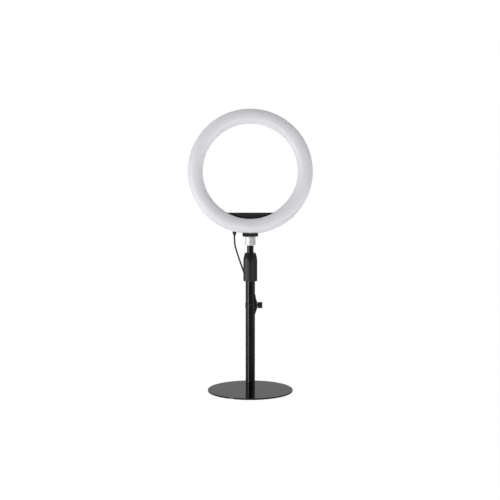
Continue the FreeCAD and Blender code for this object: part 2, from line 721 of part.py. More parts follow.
def make_lead_wires():
    """Three wires from the gland up to the back of the light board."""
    start = amount("gland_mouth + gland_length")
    depth = size("gland_back")
    rise = size("wire_rise")
    wires = []
    for place in (-1, 0, 1):
        across = size("gland_side") + place * size("wire_pitch")
        foot = Vector(across, depth, start)
        bend = Vector(across, depth - rise / 4, start + rise * 0.8)
        tip = Vector(across, size("board_thickness"), start + rise)
        path = Part.Wire([Part.Arc(foot, bend, tip).toShape()])
        section = Part.Wire([Part.Circle(foot, Vector(0, 0, 1), size("wire_diameter") / 2).toShape()])
        wires.append(path.makePipeShell([section], True, False))
    group = doc.addObject("Part::Feature", "LeadWires")
    group.Shape = Part.makeCompound(wires)
    node(group, "lead_wires")


# ---- sliding clamp -----------------------------------------------------------------------

def make_clamp():
    """A band round the pole, with a boss for the thumb screw that fairs into the pole."""
    band = cylinder("ClampBand", "clamp_band", "clamp_height", "clamp_offset", 0, "clamp_middle - clamp_height / 2")
    body = new_body("ClampFairing")
    below = "clamp_middle - fairing_below"
    above = "clamp_middle + fairing_above"
    corners = [(0, below), ("fairing_edge", below), ("fairing_swell", "clamp_middle - 2 * boss_half"),
               ("clamp_reach", "clamp_middle - boss_half"), ("clamp_reach", "clamp_middle + boss_half"),
               ("fairing_swell", "clamp_middle + 2 * boss_half"), ("fairing_edge", above), (0, above)]
    pad(body, outline(body, "XZ_Plane", corners), "fairing_width", midplane=True)

    def is_outer_edge(edge):
        box = edge.BoundBox
        return box.YLength < 0.1 and box.XMin > size("pole_diameter") / 2
    fairing = soften("ClampFairingRounded", body, size("fairing_rounding"), is_outer_edge)
    whole = join("ClampWhole", band, fairing)
    bore = cylinder("ClampBore", "clamp_bore", "fairing_below + fairing_above", z=below)
    thread = cylinder("ClampThread", "thread_room", "clamp_reach", z="clamp_middle", axis="X")
    node(cut("Clamp", whole, join("ClampHoles", bore, thread)), "pole_clamp")
    tip = cylinder("ClampPad", "thread_diameter", "pad_length", "pad_start", 0, "clamp_middle", "X")
    node(tip, "clamp_pad")


def make_knob():
    shank = cylinder("KnobShank", "thread_diameter", "knob_start + knob_socket - thread_start",
                     "thread_start", 0, "clamp_middle", "X")
    node(shank, "clamp_screw")
    barrel = cylinder("KnobBarrel", "knob_diameter", "knob_length", "knob_start", 0, "clamp_middle", "X")

    def is_outer_rim(edge):
        return edge.Curve.TypeId == "Part::GeomCircle" and edge.BoundBox.XMin > size("knob_start") + 1
    rounded = soften("KnobRounded", barrel, size("knob_rounding"), is_outer_rim)
    groove_radius = size("knob_groove") / 2
    groove_length = amount("knob_length - knob_rounding")
    groove = Part.makeCylinder(groove_radius, groove_length, Vector(0, 0, 0), Vector(1, 0, 0))
    ridges = int(size("knob_ridges"))
    out_to_groove = Vector(0, 0, size("knob_diameter") / 2 + groove_radius / 3)
    start = Vector(size("knob_start"), 0, size("clamp_middle"))
    spots = []
    for turn in range(ridges):
        about_axis = Rotation(Vector(1, 0, 0), 360 * turn / ridges)
        spots.append(Placement(start + about_axis.multVec(out_to_groove), about_axis))
    grooves = ring_of("KnobGrooves", groove, spots)
    socket = cylinder("KnobSocket", "thread_diameter", "knob_socket", "knob_start", 0, "clamp_middle", "X")
    node(cut("Knob", cut("KnobRidged", rounded, grooves), socket), "clamp_knob")


# ---- inline remote -----------------------------------------------------------------------

def remote_half(name, start, depth, inner_start):
    """Half of the remote's case as a block with rounded corners, hollowed from the seam."""
    outside = block(name + "_outside", "remote_width", depth, "remote_length", "-remote_width / 2",
                    start, "remote_bottom")

    def runs_in_depth(edge):
        return edge.BoundBox.YLength > 1 and edge.BoundBox.XLength < 0.1 and edge.BoundBox.ZLength < 0.1
    rounded = soften(name + "_rounded", outside, size("remote_corner"), runs_in_depth)
    hollow = block(name + "_hollow", "remote_width - 2 * remote_wall", depth + " - remote_wall",
                   "remote_length - 2 * remote_end", "-remote_width / 2 + remote_wall",
                   inner_start, "remote_bottom + remote_end")
    return cut(name, rounded, hollow)


def button_heights():
    return ["remote_bottom + remote_length / 2 + (%s) * button_pitch" % place for place in (1.5, 0.5, -0.5, -1.5)]


def make_remote():
    front = "remote_back - remote_depth / 2"
    half = "remote_depth / 2"
    near_half = remote_half("RemoteNear", front, half, front + " + remote_wall")
    node(near_half, "remote_base")
    far_half = remote_half("RemoteFar", "remote_back", half, "remote_back")
    openings = [cylinder("ButtonHole%d" % turn, "button_room", "remote_depth", 0, "remote_back", height, "Y")
                for turn, height in enumerate(button_heights())]
    node(cut("RemoteCover", far_half, join("ButtonHoles", *openings)), "remote_cover")
    board = block("RemoteBoard", "remote_width - 2 * remote_wall - 2 * remote_board_gap",
                  "remote_board_thickness", "remote_board_length",
                  "-remote_width / 2 + remote_wall + remote_board_gap", "remote_board_front",
                  "remote_bottom + remote_length / 2 - remote_board_length / 2")
    node(board, "remote_board")
    labels = ("button_power", "button_colour", "button_brighter", "button_dimmer")
    for height, label in zip(button_heights(), labels):
        cap = cylinder(label + "_cap", "button_diameter", "button_length", 0, "button_start", height, "Y")
        node(cap, label)
    upper = cone("ReliefUpper", "relief_wide", "relief_narrow", "relief_length", 0, "remote_back",
                 "remote_bottom + remote_length")
    node(upper, "remote_relief_upper")
    lower = cone("ReliefLower", "relief_narrow", "relief_wide", "relief_length", 0, "remote_back",
                 "remote_bottom - relief_length")
    node(lower, "remote_relief_lower")


# ---- cord --------------------------------------------------------------------------------

def cord_tube(name, label, route, diameter):
    """A round tube along straight runs joined by tangent arcs as large as the runs allow."""
    points = [Vector(*point) for point in route]
    edges = []
    at = points[0]
    radii = []
    for before, corner, after in zip(points, points[1:], points[2:]):
        arriving = (corner - before).normalize()
        leaving = (after - corner).normalize()
        half_turn = arriving.getAngle(leaving) / 2
        reach = 0.45 * min((corner - before).Length, (after - corner).Length)
        radius = reach / math.tan(half_turn)
        radii.append(round(radius, 1))
        start = corner - arriving * reach
        end = corner + leaving * reach
        inward = (leaving - arriving).normalize()
        middle = corner + inward * (radius / math.cos(half_turn) - radius)
        edges.append(Part.LineSegment(at, start).toShape())
        edges.append(Part.Arc(start, middle, end).toShape())
        at = end
    edges.append(Part.LineSegment(at, points[-1]).toShape())
    path = Part.Wire(edges)
    section = Part.Wire([Part.Circle(points[0], points[1] - points[0], size(diameter) / 2).toShape()])
    thing = doc.addObject("Part::Feature", name)
    thing.Shape = path.makePipeShell([section], True, False)
    expected = math.pi * size(diameter) ** 2 / 4 * path.Length
    print(label, "length", round(path.Length, 1), "radii", radii,
          "volume ratio", round(thing.Shape.Volume / expected, 4))
    node(thing, label)


def make_hank():
    """Outer shape of the folded cord: a slab with round ends, standing on edge on the base."""
    slab = block("HankSlab", "hank_width", "hank_length", "hank_height", "hank_left", "hank_front", "hank_bottom")

    def runs_across(edge):
        return edge.BoundBox.XLength > 1
    node(soften("Hank", slab, size("hank_height") / 2 - 0.1, runs_across), "cord_hank")
    outside = block("TieOutside", "hank_width + 2 * tie_thickness", "tie_width", "hank_height + 2 * tie_thickness",
                    "hank_left - tie_thickness", "hank_front + hank_length / 2 - tie_width / 2",
                    "hank_bottom - tie_thickness")
    inside = block("TieInside", "hank_width", "tie_width", "hank_height", "hank_left",
                   "hank_front + hank_length / 2 - tie_width / 2", "hank_bottom")
    node(cut("HankTie", outside, inside), "hank_tie")


def make_plug():
    """A flat four-contact plug with a moulded grip."""
    relief = cone("PlugRelief", "relief_narrow", "relief_wide", "plug_relief", "plug_side", "plug_rear",
                  "plug_level", "Y")
    grip = block("PlugGrip", "boot_width", "boot_length", "boot_height", "plug_side - boot_width / 2",
                 "plug_rear + plug_relief", "plug_level - boot_height / 2")

    def runs_lengthwise(edge):
        return edge.BoundBox.YLength > 1
    rounded = soften("PlugRounded", grip, size("boot_corner"), runs_lengthwise)
    node(join("PlugBoot", relief, rounded), "usb_boot")
    boot_end = "plug_rear + plug_relief + boot_length"
    outside = block("PlugMetal", "contact_width", "contact_length", "contact_height",
                    "plug_side - contact_width / 2", boot_end, "plug_level - contact_height / 2")
    inside = block("PlugSpace", "contact_width - 2 * contact_wall", "contact_length",
                   "contact_height - 2 * contact_wall", "plug_side - contact_width / 2 + contact_wall",
                   boot_end, "plug_level - contact_height / 2 + contact_wall")
    node(cut("PlugShell", outside, inside), "usb_shell")
    tongue = block("PlugTongue", "contact_width - 2 * contact_wall", "tongue_length", "tongue_height",
                   "plug_side - contact_width / 2 + contact_wall", boot_end, "plug_level + tongue_lift")
    node(tongue, "usb_tongue")


# ---- the whole model ---------------------------------------------------------------------

def build():
    make_base_pad()
    make_base_plate()
    make_base_screw()
    make_pole()
    make_lock_bush()
    make_thrust_ring()
    make_grip_sleeve()
    make_collet()
    make_inner_tube()
    make_spigot()
    make_diffuser()
    make_back_shell()
    make_accessory_insert()
    make_foot()
    make_light_board()
    make_lamps("WarmLamps", "leds_warm", 0, 109)
    make_lamps("CoolLamps", "leds_cool", 0.5, 120)
    make_gland()
    make_lead_wires()
    make_clamp()
    make_knob()
    make_remote()
    cord_tube("UpperCord", "cord_upper", UPPER_ROUTE, "lead_diameter")
    cord_tube("LowerCord", "cord_lower", LOWER_ROUTE, "cord_diameter")
    cord_tube("TailCord", "cord_tail", TAIL_ROUTE, "cord_diameter")
    make_hank()
    make_plug()
    doc.recompute()


def check():
    """Stop if anything failed to compute, or a piece is empty or not valid."""
    for thing in doc.Objects:
        if "Invalid" in thing.State or "Error" in thing.State:
            raise SystemExit("%s failed: %s" % (thing.Label, thing.State))
    for thing in nodes:
        if thing.Shape.isNull() or not thing.Shape.isValid() or thing.Shape.Volume <= 0:
            raise SystemExit("%s has no valid shape" % thing.Label)


def export():
    os.makedirs("parts", exist_ok=True)
    for thing in nodes:
        thing.Shape.exportStep("parts/%s.step" % thing.Label)
    print(len(nodes), "nodes written")


build()
check()
export()
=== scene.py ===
"""Ring light on a telescoping desk stand: the looks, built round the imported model."""

import json
import math

import bmesh
import bpy
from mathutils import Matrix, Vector
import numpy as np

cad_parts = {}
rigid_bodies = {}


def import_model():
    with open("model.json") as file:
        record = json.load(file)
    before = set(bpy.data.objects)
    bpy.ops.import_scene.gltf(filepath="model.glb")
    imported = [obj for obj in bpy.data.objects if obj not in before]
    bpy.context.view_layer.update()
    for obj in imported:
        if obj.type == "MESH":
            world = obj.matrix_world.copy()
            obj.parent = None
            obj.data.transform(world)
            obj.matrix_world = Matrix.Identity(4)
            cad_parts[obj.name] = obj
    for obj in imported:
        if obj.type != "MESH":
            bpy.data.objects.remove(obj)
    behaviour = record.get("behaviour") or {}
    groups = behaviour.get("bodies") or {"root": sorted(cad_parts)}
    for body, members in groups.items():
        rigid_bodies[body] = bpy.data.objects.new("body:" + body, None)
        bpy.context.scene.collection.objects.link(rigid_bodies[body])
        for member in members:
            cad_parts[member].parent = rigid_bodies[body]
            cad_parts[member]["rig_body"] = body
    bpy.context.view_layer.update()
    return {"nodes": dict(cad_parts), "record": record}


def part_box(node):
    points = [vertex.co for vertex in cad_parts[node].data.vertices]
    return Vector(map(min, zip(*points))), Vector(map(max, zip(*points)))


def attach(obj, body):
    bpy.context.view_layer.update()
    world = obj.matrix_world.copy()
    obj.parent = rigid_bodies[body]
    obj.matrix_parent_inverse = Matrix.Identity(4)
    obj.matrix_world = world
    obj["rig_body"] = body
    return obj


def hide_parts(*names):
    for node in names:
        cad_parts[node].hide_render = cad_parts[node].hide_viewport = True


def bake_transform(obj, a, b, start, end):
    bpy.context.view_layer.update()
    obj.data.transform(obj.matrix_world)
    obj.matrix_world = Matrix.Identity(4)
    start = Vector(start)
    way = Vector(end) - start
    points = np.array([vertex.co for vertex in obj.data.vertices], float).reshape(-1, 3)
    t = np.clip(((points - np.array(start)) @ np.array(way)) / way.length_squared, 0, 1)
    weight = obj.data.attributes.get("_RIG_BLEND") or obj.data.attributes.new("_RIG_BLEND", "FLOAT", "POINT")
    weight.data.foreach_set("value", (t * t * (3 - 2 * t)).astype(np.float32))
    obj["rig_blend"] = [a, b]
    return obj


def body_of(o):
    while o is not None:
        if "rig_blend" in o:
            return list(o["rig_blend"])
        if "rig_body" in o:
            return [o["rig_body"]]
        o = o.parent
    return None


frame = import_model()
NODES = frame["nodes"]
MM = 0.001

X = Vector((1, 0, 0))
Y = Vector((0, 1, 0))
Z = Vector((0, 0, 1))

# The camera: metres and degrees.
CAMERA_PLACE = (-0.0006, -3.0, 0.660)
CAMERA_LENS = 103.8
CAMERA_SENSOR = 36
CAMERA_LOOKS_DOWN = 6.82

# The cord's route in millimetres, as in the CAD model.
UPPER_ROUTE = [(-33.1, 5.9, 331), (-33.4, 6.1, 319), (-31.2, 7.4, 305.5), (-25.6, 11, 287),
               (-18, 16.2, 264.5), (-8, 23, 235.5), (-1.6, 29, 206), (0.4, 32.4, 174), (0, 33, 142.1)]
LOWER_ROUTE = [(0, 33, 58), (-0.7, 33.4, 50.5), (-3.2, 36.6, 44), (-5.6, 42.4, 39.6), (-6, 47, 37.4)]
TAIL_ROUTE = [(3, 33, 28), (3, 33.6, 35), (3, 38, 40.5), (3, 45, 42.2), (2.8, 52, 42.3)]
CORD_DIAMETER = 3
LEAD_DIAMETER = 3.5
TUBE_SIDES = 16

# Between these heights, in metres, the upper cord stretches when the head rises.
STRETCH_START = 0.150
STRETCH_END = 0.325

# The three wires above the strain relief, side by side, in millimetres.
WIRES_MIDDLE = -33.1
WIRE_PITCH = 2.2

# The hank: nested loops on edge, a cord's diameter apart, between two rows of folds.
HANK_FRONT = 48
HANK_REAR = 71
HANK_LEVEL = 21.15
LAYER_RADII = (15, 12, 9)
COLUMNS = (-6, -3, 0)
LOOP_START = (-6, 52, 36.15)
EXIT_COLUMN = 3
FOLD_POINTS = 6
RISE_POINTS = 3

# Ribbed strain reliefs in millimetres: under the ring, and at the remote's two ends.
RIB_DEPTH = 0.45
RIB_STEPS = 8
RELIEF_ROUNDING = 0.2
RELIEF_LIP_SHARE = 0.9
RELIEF_TIP = 2.1
REMOTE_RIBS = 4
GLAND_TAPER = 8
GLAND_TIP = 2.4
GLAND_RIBS = 3
GLAND_FLARE = 5
GLAND_STEP = 0.3
GLAND_NECK = 3.8
FLANGE_HEIGHT = 1.6
FLANGE_SQUARENESS = 8

# A key of the remote: how far below its top and in from its edge each step of its outline lies.
KEY_OUTLINE = [(0.7, 0), (0.35, 0.12), (0.1, 0.45), (0, 0.9), (0.1, 1.5), (0.25, 2.4)]
KEY_DISH = 0.3
KEY_CENTRE = 0.3

# The plug's moulded grip in millimetres.
PLUG_RELIEF = 6
PLUG_RELIEF_WIDE = 3.2
PLUG_RIBS = 2
PLUG_STEPS = 72
PLUG_ROUNDING = 0.5
PLUG_SQUARENESS = 5
PLUG_GROOVE = 0.55
GROOVE_PITCH = 3
GROOVES_START = 3
GROOVES_END = 12

# The strap round the hank in millimetres, and its lapped end in shares of a turn.
STRAP_THICKNESS = 0.6
STRAP_GAP = 0.02
STRAP_LAP = 0.55
STRAP_SQUARENESS = 7
STRAP_STEPS = 160
LAP_START = 3 / 8
LAP_END = 9 / 16

# The ring's place from the frame, and its section in millimetres.
RING_LOW, RING_HIGH = [Vector(corner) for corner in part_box("diffuser")]
RING_CENTRE = (RING_LOW.z + RING_HIGH.z) / 2
DIFFUSER_WIDTH = 31
DIFFUSER_SKIRT = 3
DIFFUSER_WALL = 1.6
DIFFUSER_TURNS = 288
LIP_STEPS = 8
BOW_STEPS = 40
INNER_BOW_STEPS = 24

# The twist lock's sleeve in millimetres and degrees.
GRIP_RADIUS = 15.5
GRIP_NECK = 11.8
GRIP_SHOULDER = 280
GRIP_MOUTH = 7.4
GRIP_MOUTH_BEVEL = 0.5
GRIP_MOUTH_LENGTH = 11
GRIP_BORE = 11.7
GRIP_BORE_TOP = 14
GRIP_BORE_BEVEL = 0.4
GRIP_BORE_FLARE = 0.3
GRIP_FOOT_ROUND = 0.6
GRIP_TOP_ROUND = 1
GRIP_STEPS = 24
GRIP_TURN = 30
GRIP_ROUNDING = 0.35
FLUTE_COUNT = 6
FLUTE_RADIUS = 20
FLUTE_DEPTH = 1.4

# The spigot in millimetres.
SPIGOT_BORE = 3.3
SPIGOT_RIM = 0.7
SPIGOT_GROOVE_PLACE = 2.4
SPIGOT_GROOVE_DEPTH = 0.3
SPIGOT_GROOVE_TOP = 0.4
SPIGOT_GROOVE_FLOOR = 0.15
SPIGOT_TURNS = 144
ROUND_STEP = 15

# The thumb screw's knob in millimetres. Each step of its outline says how far it lies from the
# pole's end of the knob or from the free end, how far in from the knob's edge, and how deep
# the hollows between the ribs are there.
KNOB_RIBS = 24
KNOB_RIB_STEPS = 8
KNOB_SOCKET = 5
KNOB_SOCKET_RADIUS = 2.3
KNOB_CENTRE = 0.3
KNOB_POLE_END = [(0, 0.9, 0), (0.2, 0.4, 0), (0.7, 0.2, 0), (1.0, 0.2, 0), (1.3, 0, 0.3), (1.8, 0, 0.6)]
KNOB_FREE_END = [(2.0, 0, 0.6), (1.2, 0.05, 0.35), (0.7, 0.25, 0.1), (0.3, 0.6, 0), (0.05, 1.1, 0),
                 (0, 1.6, 0), (0.1, 2.0, 0), (0.45, 2.6, 0)]
KNOB_DISH = 0.55

# What the lamps look at, in metres, and how much red and green the room's light has beside blue.
LAMPS_LOOK_AT = (0, 0, 0.3)
WARM_SHARE = 0.975

# Brightness of the room by height, from straight down at -1 to straight up at 1. The front half
# gives way to the back half between two depths, from the camera's side at -1 to behind at 1.
FRONT_OF_ROOM = [(-1, 0.2), (-0.66, 0.2), (-0.60, 2.7), (-0.38, 2.7), (-0.32, 0.13), (0.05, 0.12),
                 (0.14, 0.03), (0.48, 0.03), (0.56, 0.62), (1, 0.62)]
BACK_OF_ROOM = [(-1, 0.57), (-0.2, 0.33), (0.05, 0.38), (0.3, 0.38), (1, 0.43)]
FRONT_ENDS = -0.2
BACK_STARTS = 0.6

# The floor: half its side in metres, its own grey and its glow.
FLOOR_REACH = 40
FLOOR_GREY = 0.1
FLOOR_GLOW = 0.96


def metres(points):
    """Points given in millimetres, as vectors in metres."""
    return [Vector(point) * MM for point in points]


def rounding(radius, start):
    """Sine and cosine of a quarter turn, times a radius, in even steps from a number of degrees."""
    turns = [math.radians(turn) for turn in range(start, 91, ROUND_STEP)]
    return [(radius * math.sin(turn), radius * math.cos(turn)) for turn in turns]


# ---- camera and light --------------------------------------------------------------------

def make_camera():
    """Three metres in front and a little above the light, looking slightly down."""
    data = bpy.data.cameras.new("camera")
    data.lens = CAMERA_LENS
    data.sensor_width = CAMERA_SENSOR
    camera = bpy.data.objects.new("camera", data)
    camera.location = CAMERA_PLACE
    camera.rotation_euler = (math.radians(90 - CAMERA_LOOKS_DOWN), 0, 0)
    bpy.context.scene.collection.objects.link(camera)
    bpy.context.scene.camera = camera


def make_softbox(name, azimuth, elevation, distance, width, height, power):
    """A rectangular lamp turned towards the object; azimuth 0 is the camera's side."""
    data = bpy.data.lights.new(name, "AREA")
    data.shape = "RECTANGLE"
    data.size = width
    data.size_y = height
    data.energy = power
    lamp = bpy.data.objects.new(name, data)
    around = math.radians(azimuth)
    above = math.radians(elevation)
    level = math.cos(above)
    away = Vector((math.sin(around) * level, -math.cos(around) * level, math.sin(above)))
    lamp.location = Vector(LAMPS_LOOK_AT) + away * distance
    lamp.rotation_euler = (-away).to_track_quat("-Z", "Y").to_euler()
    bpy.context.scene.collection.objects.link(lamp)


def grey_steps(tree, source, steps):
    """A ramp of greys: each step is a height from -1, straight down, to 1, and a brightness."""
    ramp = tree.nodes.new("ShaderNodeValToRGB")
    stops = ramp.color_ramp.elements
    while len(stops) < len(steps):
        stops.new(0.5)
    for stop, (height, brightness) in zip(stops, steps):
        stop.position = (height + 1) / 2
        stop.color = (brightness * WARM_SHARE, brightness * WARM_SHARE, brightness, 1)
    place = tree.nodes.new("ShaderNodeMapRange")
    place.inputs["From Min"].default_value = -1
    tree.links.new(source, place.inputs["Value"])
    tree.links.new(place.outputs["Result"], ramp.inputs["Fac"])
    return ramp.outputs["Color"]


def make_world():
    """White to the camera. As light it is a grey room: bright low in front, dark at eye level
    and just above it, and evenly grey behind."""
    world = bpy.data.worlds.new("studio")
    world.use_nodes = True
    tree = world.node_tree
    tree.nodes.clear()
    place = tree.nodes.new("ShaderNodeTexCoord")
    parts = tree.nodes.new("ShaderNodeSeparateXYZ")
    tree.links.new(place.outputs["Generated"], parts.inputs["Vector"])
    front = grey_steps(tree, parts.outputs["Z"], FRONT_OF_ROOM)
    back = grey_steps(tree, parts.outputs["Z"], BACK_OF_ROOM)
    depth = tree.nodes.new("ShaderNodeMapRange")
    depth.inputs["From Min"].default_value = FRONT_ENDS
    depth.inputs["From Max"].default_value = BACK_STARTS
    room = tree.nodes.new("ShaderNodeMix")
    room.data_type = "RGBA"
    tree.links.new(parts.outputs["Y"], depth.inputs["Value"])
    tree.links.new(depth.outputs["Result"], room.inputs["Factor"])
    tree.links.new(front, room.inputs["A"])
    tree.links.new(back, room.inputs["B"])
    dome = tree.nodes.new("ShaderNodeBackground")
    tree.links.new(room.outputs["Result"], dome.inputs["Color"])
    backdrop = tree.nodes.new("ShaderNodeBackground")
    backdrop.inputs["Color"].default_value = (1, 1, 1, 1)
    backdrop.inputs["Strength"].default_value = 1.0
    path = tree.nodes.new("ShaderNodeLightPath")
    mix = tree.nodes.new("ShaderNodeMixShader")
    out = tree.nodes.new("ShaderNodeOutputWorld")
    tree.links.new(path.outputs["Is Camera Ray"], mix.inputs["Fac"])
    tree.links.new(dome.outputs["Background"], mix.inputs[1])
    tree.links.new(backdrop.outputs["Background"], mix.inputs[2])
    tree.links.new(mix.outputs["Shader"], out.inputs["Surface"])
    bpy.context.scene.world = world
    bpy.context.scene.view_settings.view_transform = "Standard"


def make_floor():
    """A pale floor that glows white like the backdrop, so that no horizon shows.

    It lights nothing and shows in no reflection, because the room already gives its light.
    """
    mesh = bpy.data.meshes.new("floor")
    reach = FLOOR_REACH
    square = [(-reach, -reach, 0), (reach, -reach, 0), (reach, reach, 0), (-reach, reach, 0)]
    mesh.from_pydata(square, [], [(0, 1, 2, 3)])
    floor = bpy.data.objects.new("floor", mesh)
    bpy.context.scene.collection.objects.link(floor)
    paint = bpy.data.materials.new("floor_white")
    paint.use_nodes = True
    shader = paint.node_tree.nodes["Principled BSDF"]
    shader.inputs["Base Color"].default_value = (FLOOR_GREY, FLOOR_GREY, FLOOR_GREY, 1)
    shader.inputs["Roughness"].default_value = 1
    shader.inputs["Specular IOR Level"].default_value = 0
    shader.inputs["Emission Color"].default_value = (1, 1, 1, 1)
    shader.inputs["Emission Strength"].default_value = FLOOR_GLOW
    mesh.materials.append(paint)
    floor.visible_glossy = False
    floor.visible_diffuse = False
    floor.visible_shadow = False


# ---- materials ---------------------------------------------------------------------------

class Finish:
    """A material with one Principled shader and helpers that add fine detail to it."""

    def __init__(self, name, colour, roughness, metallic=0):
        self.material = bpy.data.materials.new(name)
        self.material.use_nodes = True
        self.tree = self.material.node_tree
        self.shader = self.tree.nodes["Principled BSDF"]
        self.colour = colour
        self.roughness = roughness
        self.last_normal = None
        self.shader.inputs["Base Color"].default_value = (*colour, 1)
        self.shader.inputs["Roughness"].default_value = roughness
        self.shader.inputs["Metallic"].default_value = metallic

    def noise(self, scale, detail=3, stretch=(1, 1, 1)):
        """Noise in the object's own metres: a scale of 1000 has features of about a millimetre."""
        place = self.tree.nodes.new("ShaderNodeTexCoord")
        mapping = self.tree.nodes.new("ShaderNodeMapping")
        mapping.inputs["Scale"].default_value = stretch
        noise = self.tree.nodes.new("ShaderNodeTexNoise")
        noise.inputs["Scale"].default_value = scale
        noise.inputs["Detail"].default_value = detail
        self.tree.links.new(place.outputs["Object"], mapping.inputs["Vector"])
        self.tree.links.new(mapping.outputs["Vector"], noise.inputs["Vector"])
        return noise.outputs["Fac"]

    def cells(self, scale):
        """Rounded grains, as of a spark-eroded mould."""
        place = self.tree.nodes.new("ShaderNodeTexCoord")
        grain = self.tree.nodes.new("ShaderNodeTexVoronoi")
        grain.feature = "SMOOTH_F1"
        grain.inputs["Scale"].default_value = scale
        self.tree.links.new(place.outputs["Object"], grain.inputs["Vector"])
        return grain.outputs["Distance"]

    def ramp(self, source, low, high, start=0.3, end=0.7):
        """Map a texture onto a range of grey or colour."""
        ramp = self.tree.nodes.new("ShaderNodeValToRGB")
        ramp.color_ramp.elements[0].position = start
        ramp.color_ramp.elements[1].position = end
        ramp.color_ramp.elements[0].color = (*low, 1)
        ramp.color_ramp.elements[1].color = (*high, 1)
        self.tree.links.new(source, ramp.inputs["Fac"])
        return ramp.outputs["Color"]

    def vary_colour(self, source, amount):
        """Lighten and darken the colour by a share of itself."""
        low = tuple(part * (1 - amount) for part in self.colour)
        high = tuple(min(1, part * (1 + amount)) for part in self.colour)
        self.tree.links.new(self.ramp(source, low, high), self.shader.inputs["Base Color"])
        return self

    def vary_roughness(self, source, amount):
        """Make the surface duller and shinier by an amount each way."""
        low = (self.roughness - amount,) * 3
        high = (self.roughness + amount,) * 3
        self.tree.links.new(self.ramp(source, low, high), self.shader.inputs["Roughness"])
        return self

    def bump(self, source, height, strength=1.0):
        """Raise the surface by a texture; the height is in metres."""
        bump = self.tree.nodes.new("ShaderNodeBump")
        bump.inputs["Distance"].default_value = height
        bump.inputs["Strength"].default_value = strength
        self.tree.links.new(source, bump.inputs["Height"])
        if self.last_normal:
            self.tree.links.new(self.last_normal, bump.inputs["Normal"])
        self.last_normal = bump.outputs["Normal"]
        self.tree.links.new(self.last_normal, self.shader.inputs["Normal"])
        return self

    def set(self, **values):
        """Values that are the same all over, set on the shader's own sockets."""
        for name, value in values.items():
            self.shader.inputs[name.replace("_", " ")].default_value = value
        return self


def black_enamel():
    """Sprayed black enamel: faint orange peel and a little dust."""
    finish = Finish("black_enamel", (0.0045, 0.0045, 0.0052), 0.17)
    finish.vary_roughness(finish.noise(60, 5), 0.05)
    finish.vary_colour(finish.noise(35, 4), 0.25)
    finish.bump(finish.noise(700, 2), 0.00002, 0.25)
    return finish.set(Coat_Weight=0.35, Coat_Roughness=0.08, Specular_IOR_Level=0.4).material


def gloss_enamel():
    """The inner tube's shinier enamel, drawn along the tube."""
    finish = Finish("gloss_enamel", (0.002, 0.002, 0.0023), 0.13)
    finish.vary_roughness(finish.noise(80, 4, (1, 1, 0.1)), 0.04)
    finish.bump(finish.noise(500, 2), 0.00001, 0.2)
    return finish.set(Coat_Weight=0.3, Coat_Roughness=0.05).material


def satin_chrome():
    """Turned and plated: very fine rings round the spigot."""
    finish = Finish("satin_chrome", (0.9, 0.9, 0.91), 0.48, 1)
    finish.vary_roughness(finish.noise(40, 4, (1, 1, 60)), 0.05)
    finish.vary_colour(finish.noise(120, 3), 0.03)
    finish.bump(finish.noise(25, 4, (1, 1, 120)), 0.00001, 0.35)
    along = finish.tree.nodes.new("ShaderNodeTangent")
    along.direction_type = "RADIAL"
    along.axis = "Z"
    finish.tree.links.new(along.outputs["Tangent"], finish.shader.inputs["Tangent"])
    return finish.set(Anisotropic=0.75).material


def zinc_steel():
    """Zinc plated screws and rods, slightly blotched."""
    finish = Finish("zinc_steel", (0.50, 0.50, 0.52), 0.35, 1)
    finish.vary_roughness(finish.noise(300, 4), 0.1)
    finish.vary_colour(finish.noise(150, 4), 0.12)
    return finish.bump(finish.noise(1500, 3), 0.00002, 0.3).material


def brass():
    """Turned brass inserts, with fine tool rings."""
    finish = Finish("machined_brass", (0.70, 0.48, 0.20), 0.28, 1)
    finish.vary_roughness(finish.noise(60, 3, (1, 1, 40)), 0.08)
    finish.vary_colour(finish.noise(200, 3), 0.1)
    return finish.bump(finish.noise(40, 3, (1, 1, 60)), 0.00002, 0.4).material


def moulded_black(name, colour, roughness, grain, depth):
    """Moulded plastic or rubber with a fine eroded grain."""
    finish = Finish(name, colour, roughness)
    finish.vary_roughness(finish.noise(90, 4), 0.06)
    finish.vary_colour(finish.noise(45, 4), 0.15)
    finish.bump(finish.cells(grain), depth, 0.5)
    return finish.bump(finish.noise(grain * 0.6, 3), depth, 0.4)


def black_abs():
    """The ring's shell, its foot and the remote's case."""
    return moulded_black("textured_abs", (0.0065, 0.0065, 0.007), 0.42, 2600, 0.00004).material


def soft_touch():
    """Charcoal grip plastic with a soft dry sheen."""
    finish = moulded_black("soft_touch", (0.008, 0.0072, 0.0082), 0.36, 3200, 0.00003)
    return finish.set(Sheen_Weight=0.04, Sheen_Roughness=0.5).material


def clamp_plastic():
    """The clamp is moulded smoother and shinier than the grip."""
    return moulded_black("clamp_plastic", (0.0055, 0.0055, 0.006), 0.24, 3200, 0.00001).material


def soft_pvc():
    """Strain reliefs and the plug's grip."""
    return moulded_black("soft_pvc", (0.014, 0.014, 0.015), 0.42, 2400, 0.00003).material


def cord_jacket():
    """Smooth extruded jacket, drawn along the cord."""
    finish = Finish("cord_jacket", (0.012, 0.012, 0.013), 0.38)
    finish.vary_roughness(finish.noise(200, 3), 0.06)
    finish.vary_colour(finish.noise(120, 3), 0.2)
    return finish.bump(finish.noise(1400, 2), 0.00002, 0.3).material


def foam():
    """The pad under the base."""
    finish = Finish("closed_cell_foam", (0.018, 0.018, 0.018), 0.85)
    finish.vary_colour(finish.noise(400, 4), 0.3)
    return finish.bump(finish.cells(1400), 0.0001, 0.7).material


def acetal():
    """Milky bearing plastic of the collet and bushes."""
    finish = Finish("natural_acetal", (0.72, 0.70, 0.64), 0.35)
    finish.vary_colour(finish.noise(90, 3), 0.05)
    finish.bump(finish.noise(900, 3), 0.00002, 0.3)
    return finish.set(Subsurface_Weight=0.2, Subsurface_Scale=0.002).material


